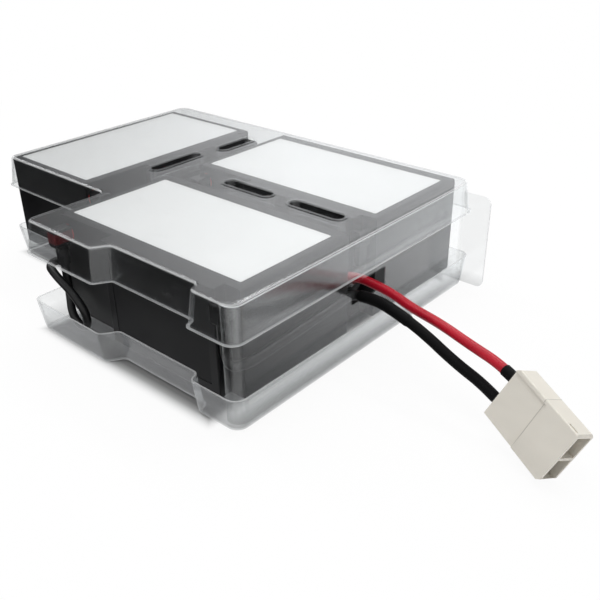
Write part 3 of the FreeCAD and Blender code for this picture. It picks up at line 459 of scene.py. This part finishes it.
def ivory_nylon(settings, axis, seam):
    """Moulded nylon of the plug: warm white, faint flow marks, and a mould seam across its axis."""
    make = Shader("ivory_nylon")
    where = make.add("ShaderNodeTexCoord").outputs["Object"]
    along = make.add("ShaderNodeVectorMath", {0: where, 1: axis},
                     operation="DOT_PRODUCT").outputs["Value"]
    groove = make.math("MULTIPLY", make.compare(along, seam, 0.00022), 0.3)
    front = make.spread(along, 1.0, 0.965, seam, seam + 0.0002)
    skin = make.noise(2100, 2.0, 0.6)
    flow = make.noise(45, 3.0, 0.5, (0.4, 1, 1))
    tone = make.blend(make.spread(flow, 0.0, 1.0),
                      shaded(settings.body, 0.93), shaded(settings.body, 1.03))
    kept = make.math("MULTIPLY", front, make.math("SUBTRACT", 1.0, groove))
    return make.finish(make.add("ShaderNodeBsdfPrincipled", {
        "Base Color": make.blend(kept, (0, 0, 0, 1), tone),
        "Roughness": make.spread(flow, 0.38, 0.52),
        "Subsurface Weight": 0.08,
        "Subsurface Radius": (0.004, 0.0035, 0.003),
        "Subsurface Scale": 0.4,
        "Normal": make.bump(skin, 0.00003)}).outputs[0])


# ------------------------------------------------------------------ wiring pieces

def route_curve(name, points, diameter):
    """A smooth round lead along its route, as one open spline."""
    data = bpy.data.curves.new(name, "CURVE")
    data.dimensions = "3D"
    spline = data.splines.new("NURBS")
    spline.points.add(len(points) - 1)
    for point, place in zip(spline.points, points):
        point.co = (*(CORNER + Vector(place)), 1.0)
    spline.order_u = 3
    spline.use_endpoint_u = True
    spline.resolution_u = 16
    data.bevel_depth = diameter / 2
    data.bevel_resolution = 7
    data.use_fill_caps = True
    piece = bpy.data.objects.new(name, data)
    bpy.context.collection.objects.link(piece)
    return piece


def sleeve_tree(material):
    """Node tree: a stretch of a route becomes a sleeve with rolled ends."""
    tree = bpy.data.node_groups.new("sleeve", "GeometryNodeTree")
    face = tree.interface
    face.new_socket("Geometry", in_out="INPUT", socket_type="NodeSocketGeometry")
    for title, default in (("Start", 0.0), ("End", 1.0), ("Radius", 0.0034)):
        socket = face.new_socket(title, in_out="INPUT", socket_type="NodeSocketFloat")
        socket.default_value = default
    face.new_socket("Geometry", in_out="OUTPUT", socket_type="NodeSocketGeometry")

    add = partial(add_node, tree)
    given = add("NodeGroupInput").outputs
    stretch = add("GeometryNodeTrimCurve", {
        "Curve": given["Geometry"], 2: given["Start"], 3: given["End"]}, mode="FACTOR").outputs[0]
    spaced = add("GeometryNodeResampleCurve", {"Curve": stretch, "Count": 72}, mode="COUNT").outputs[0]
    along = add("GeometryNodeSplineParameter").outputs["Factor"]
    middle = add("ShaderNodeMath", {0: along, 1: 0.5}, operation="SUBTRACT").outputs[0]
    reach = add("ShaderNodeMath", {0: middle}, operation="ABSOLUTE").outputs[0]
    rolled = add("ShaderNodeMapRange", {
        "Value": reach, "From Min": 0.47, "From Max": 0.5, "To Min": 1.0, "To Max": 0.9}).outputs[0]
    wide = add("ShaderNodeMath", {0: given["Radius"], 1: rolled}, operation="MULTIPLY").outputs[0]
    ring = add("GeometryNodeCurvePrimitiveCircle", {"Resolution": 28, "Radius": 1.0}, mode="RADIUS")
    tube = add("GeometryNodeCurveToMesh", {
        "Curve": spaced, "Profile Curve": ring.outputs[0], "Scale": wide, "Fill Caps": True})
    smooth = add("GeometryNodeSetShadeSmooth", {"Geometry": tube.outputs[0]})
    real = add("GeometryNodeRealizeInstances", {"Geometry": smooth.outputs[0]})
    dressed = add("GeometryNodeSetMaterial", {"Geometry": real.outputs[0], "Material": material})
    add("NodeGroupOutput", {0: dressed.outputs[0]})
    return tree


def sleeve(name, route, tree, start, end, radius):
    """One sleeve, worked out by the node tree along a route and kept as a plain mesh."""
    line = route_curve(name + "_line", route, 0.0)
    modifier = line.modifiers.new("sleeve", "NODES")
    modifier.node_group = tree
    sockets = {item.name: item.identifier for item in tree.interface.items_tree
               if item.item_type == "SOCKET" and item.in_out == "INPUT"}
    for title, value in (("Start", start), ("End", end), ("Radius", radius)):
        modifier[sockets[title]] = value
    graph = bpy.context.evaluated_depsgraph_get()
    mesh = bpy.data.meshes.new_from_object(line.evaluated_get(graph))
    mesh.name = name
    piece = bpy.data.objects.new(name, mesh)
    bpy.context.collection.objects.link(piece)
    bpy.data.objects.remove(line)
    return piece


# ------------------------------------------------------------------ operators

class CARTRIDGE_OT_trays(bpy.types.Operator):
    """Finish the two formed trays and the end cover"""
    bl_idname = "cartridge.trays"
    bl_label = "Trays and cover"

    def execute(self, context):
        settings = context.scene.cartridge_sheet
        top, base, cover = [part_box(name) for name in ("top_tray", "bottom_tray", "end_cover")]
        # strengths of the highlight painted along each cut edge
        edge_highlights = {
            "top_tray": [("Z", top[0][2], TRAY_RIM_HIGHLIGHT)],
            "bottom_tray": [("Z", base[1][2], TRAY_RIM_HIGHLIGHT)],
            "end_cover": [("Z", cover[1][2], COVER_TOP_HIGHLIGHT), ("X", cover[0][0], COVER_FLANGE_HIGHLIGHT),
                          ("X", cover[1][0], PULL_TAB_HIGHLIGHT)],
        }
        for name, edges in edge_highlights.items():
            paint([name], clear_sheet(name + "_sheet", settings, edges))
        return {"FINISHED"}


class CARTRIDGE_OT_batteries(bpy.types.Operator):
    """Finish the batteries, their labels and their terminals"""
    bl_idname = "cartridge.batteries"
    bl_label = "Batteries"

    def execute(self, context):
        settings = context.scene.cartridge_battery
        grain = settings.grain
        paint(named("_case"), moulded_black("case_plastic", settings.case, grain, 0.42))
        paint(named("_lid"), moulded_black("lid_plastic", settings.case, grain * 0.7, 0.36))
        paint(named("_vent_cover"), moulded_black("vent_plastic", settings.case, grain * 1.4, 0.5))
        paint(["label_1", "label_2", "label_3"], label_film(settings))
        paint(named("_terminal"), plated("tinned_brass", (0.72, 0.7, 0.66), 0.32))
        paint(named("positive_seal"), vinyl("red_seal", (0.55, 0.02, 0.02), 0.4))
        paint(named("negative_seal"), vinyl("black_seal", (0.02, 0.02, 0.02), 0.4))
        return {"FINISHED"}


class CARTRIDGE_OT_wiring(bpy.types.Operator):
    """Finish the wiring inside and lay the two free leads with their sleeves"""
    bl_idname = "cartridge.wiring"
    bl_label = "Wiring"

    def execute(self, context):
        settings = context.scene.cartridge_wiring
        red = vinyl("red_insulation", settings.red, 0.3)
        black = vinyl("black_insulation", settings.black, 0.33)
        boots = [name for name in NODES if name.startswith("boot_")]
        paint(boots, vinyl("boot_vinyl", settings.black, 0.2))
        marked = banded_vinyl("marked_boot_vinyl", settings.red, settings.black, *BOOT_BAND)
        paint(["boot_3_positive"], marked)
        paint(["jumper_2_to_1", "jumper_1_to_3", "black_inner_run", "black_lead"], black)
        paint(["red_inner_run", "red_lead"], red)
        tree = sleeve_tree(woven_sleeve("sleeve_cover", settings.black))
        around = settings.lead_diameter / 2 + settings.sleeve_wall
        red_ring, black_ring, outlet = [
            sleeve(name, route, tree, start, end, around * width)
            for name, route, (start, end, width) in (
                ("red_lead_shrink", RED_ROUTE, RED_SHRINK),
                ("black_lead_shrink", BLACK_ROUTE, BLACK_SHRINK),
                ("black_lead_sleeve", BLACK_ROUTE, BLACK_OUTLET))]
        plug = [NODES[name] for name in NODES if name.startswith("plug_")]
        pieces = (
            ("red", RED_ROUTE, red, [red_ring] + plug, RED_LENGTH),
            ("black", BLACK_ROUTE, black, [black_ring, outlet], BLACK_LENGTH),
        )
        for shade, route, material, on_it, length in pieces:
            lead = route_curve(shade + "_lead_line", route, settings.lead_diameter)
            lead.data.materials.append(material)
            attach(lead, "root")
            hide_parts(shade + "_lead")
            for piece in on_it:
                if "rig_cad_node" not in piece:
                    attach(piece, "root")
        return {"FINISHED"}


class CARTRIDGE_OT_plug(bpy.types.Operator):
    """Finish the plug and its contacts"""
    bl_idname = "cartridge.plug"
    bl_label = "Plug"

    def execute(self, context):
        settings = context.scene.cartridge_plug
        axis = (Vector(RED_ROUTE[-1]) - Vector(RED_ROUTE[-2])).normalized()
        reach = [axis.dot(vertex.co) for vertex in NODES["plug_housing"].data.vertices]
        paint(["plug_housing"], ivory_nylon(settings, axis, (min(reach) + max(reach)) / 2))
        paint(["plug_positive_contact", "plug_negative_contact"],
              plated("contact_brass", settings.metal, 0.3))
        return {"FINISHED"}


def lamp(name, place, size, power, mirrored):
    """A rectangular lamp that faces the object."""
    data = bpy.data.lights.new(name, "AREA")
    data.shape = "RECTANGLE"
    data.size, data.size_y = size
    data.energy = power
    light = bpy.data.objects.new(name, data)
    bpy.context.collection.objects.link(light)
    light.location = place
    light.rotation_euler = (-Vector(place)).to_track_quat("-Z", "Y").to_euler()
    light.visible_glossy = mirrored


class CARTRIDGE_OT_stage(bpy.types.Operator):
    """Set up the pale floor, the soft lights and the camera"""
    bl_idname = "cartridge.stage"
    bl_label = "Stage"

    def execute(self, context):
        settings = context.scene.cartridge_stage
        self.floor(settings)
        self.sky(settings)
        for values in LAMPS:
            lamp(*values)
        data = bpy.data.cameras.new("camera")
        data.sensor_width = FILM_WIDTH
        data.lens = settings.lens
        camera = bpy.data.objects.new("camera", data)
        bpy.context.collection.objects.link(camera)
        camera.location = CORNER + Vector(settings.stand)
        camera.rotation_euler = settings.turn
        context.scene.camera = camera
        context.scene.view_settings.view_transform = "Standard"
        return {"FINISHED"}

    def beyond(self, make, blocks):
        """How far a place on the floor lies outside the nearest of some upright blocks."""
        away = 1.0
        for low, high in blocks:
            outside = -1.0
            for number, axis in enumerate("XY"):
                middle, half = (low[number] + high[number]) / 2, (high[number] - low[number]) / 2
                offset = make.math("ABSOLUTE", make.math("SUBTRACT", make.along(axis), middle))
                outside = make.math("MAXIMUM", make.math("SUBTRACT", offset, half), outside)
            away = make.math("MINIMUM", outside, away)
        return away

    def floor(self, settings):
        """Pale paper: white around the object, in shade under it, and a dark mirror to the near left."""
        bpy.ops.mesh.primitive_plane_add(size=FLOOR_SIZE, location=(0, 0, -FLOOR_DROP))
        ground = bpy.context.object
        ground.name = "floor"
        make = Shader("floor_paper")
        rays = make.add("ShaderNodeLightPath").outputs
        seen = make.math("MAXIMUM", rays["Is Camera Ray"], rays["Is Transmission Ray"])

        side, far, bay = [
            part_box(name) for name in ("battery_1_case", "battery_2_case", "boot_3_positive")]
        inner = (far[1][0] - END_INSET, far[1][1])
        near_bay = (bay[0][0] - BAY_REACH[0], bay[0][1] - BAY_REACH[1])
        away = self.beyond(make, ((side[0], inner), (near_bay, inner)))

        clear = make.math("MULTIPLY", make.spread(away, 0.0, 1.0, *WHITE_STARTS),
                          make.spread(away, settings.whiteness, 1.0, *GREY_FADES))
        across = make.math("ADD", make.along("X"), make.along("Y"))
        mirrored = make.math("MAXIMUM", make.spread(across, NEAR_LEFT, FAR_RIGHT, *CROSSING),
                             make.spread(away, GLOW, 0.0, *GLOW_FADES))
        shade = make.blend(make.spread(away, 0.0, 1.0, *SHADE_ENDS),
                           shaded(settings.floor, FLOOR_SHADE), colour(settings.floor))

        matt = make.add("ShaderNodeBsdfDiffuse", {"Color": shade}).outputs[0]
        white, flag = [
            make.add("ShaderNodeEmission", {"Color": (1, 1, 1, 1), "Strength": strength}).outputs[0]
            for strength in (1.0, mirrored)]
        paper = make.add("ShaderNodeMixShader", {
            0: make.math("MULTIPLY", seen, clear), 1: matt, 2: white}).outputs[0]
        ground.data.materials.append(make.finish(make.add("ShaderNodeMixShader", {
            0: rays["Is Glossy Ray"], 1: paper, 2: flag}).outputs[0]))

    def sky(self, settings):
        """An even pale room that mirrors dark at its left end."""
        world = bpy.data.worlds.new("studio")
        world.use_nodes = True
        bpy.context.scene.world = world
        add = partial(add_node, world.node_tree)
        rays = add("ShaderNodeLightPath").outputs
        seen = add("ShaderNodeMath", {
            0: rays["Is Camera Ray"], 1: rays["Is Transmission Ray"]}, operation="MAXIMUM").outputs[0]
        way = add("ShaderNodeSeparateXYZ", {0: add("ShaderNodeTexCoord").outputs["Generated"]})
        fade = add("ShaderNodeMapRange", {
            "Value": way.outputs["X"], "From Min": DARK_END[0], "From Max": DARK_END[1],
            "To Min": DARK_LEVEL, "To Max": 1.0}).outputs[0]
        room = add("ShaderNodeMix", {
            0: rays["Is Glossy Ray"], 2: settings.room, 3: fade}, data_type="FLOAT").outputs[0]
        level = add("ShaderNodeMath", {0: room, 1: seen}, operation="MAXIMUM").outputs[0]
        back = world.node_tree.nodes["Background"]
        back.inputs["Color"].default_value = (1, 1, 1, 1)
        world.node_tree.links.new(level, back.inputs["Strength"])


class CARTRIDGE_PT_panel(bpy.types.Panel):
    bl_idname = "CARTRIDGE_PT_panel"
    bl_label = "Battery cartridge"
    bl_space_type = "VIEW_3D"
    bl_region_type = "UI"
    bl_category = "Cartridge"

    def draw(self, context):
        scene = context.scene
        for settings, operator in (
                (scene.cartridge_sheet, "cartridge.trays"),
                (scene.cartridge_battery, "cartridge.batteries"),
                (scene.cartridge_wiring, "cartridge.wiring"),
                (scene.cartridge_plug, "cartridge.plug"),
                (scene.cartridge_stage, "cartridge.stage")):
            box = self.layout.box()
            for name in settings.__annotations__:
                box.prop(settings, name)
            box.operator(operator)


GROUPS = {
    "cartridge_sheet": SheetSettings,
    "cartridge_battery": BatterySettings,
    "cartridge_wiring": WiringSettings,
    "cartridge_plug": PlugSettings,
    "cartridge_stage": StageSettings,
}
CLASSES = (
    CARTRIDGE_OT_trays, CARTRIDGE_OT_batteries, CARTRIDGE_OT_wiring, CARTRIDGE_OT_plug,
    CARTRIDGE_OT_stage, CARTRIDGE_PT_panel,
)


def register():
    for item in (*GROUPS.values(), *CLASSES):
        bpy.utils.register_class(item)
    for name, group in GROUPS.items():
        setattr(bpy.types.Scene, name, PointerProperty(type=group))


def unregister():
    for name in GROUPS:
        delattr(bpy.types.Scene, name)
    for item in reversed((*GROUPS.values(), *CLASSES)):
        bpy.utils.unregister_class(item)


def main():
    register()
    bpy.ops.cartridge.trays()
    bpy.ops.cartridge.batteries()
    bpy.ops.cartridge.wiring()
    bpy.ops.cartridge.plug()
    bpy.ops.cartridge.stage()


if __name__ == "__main__":
    main()
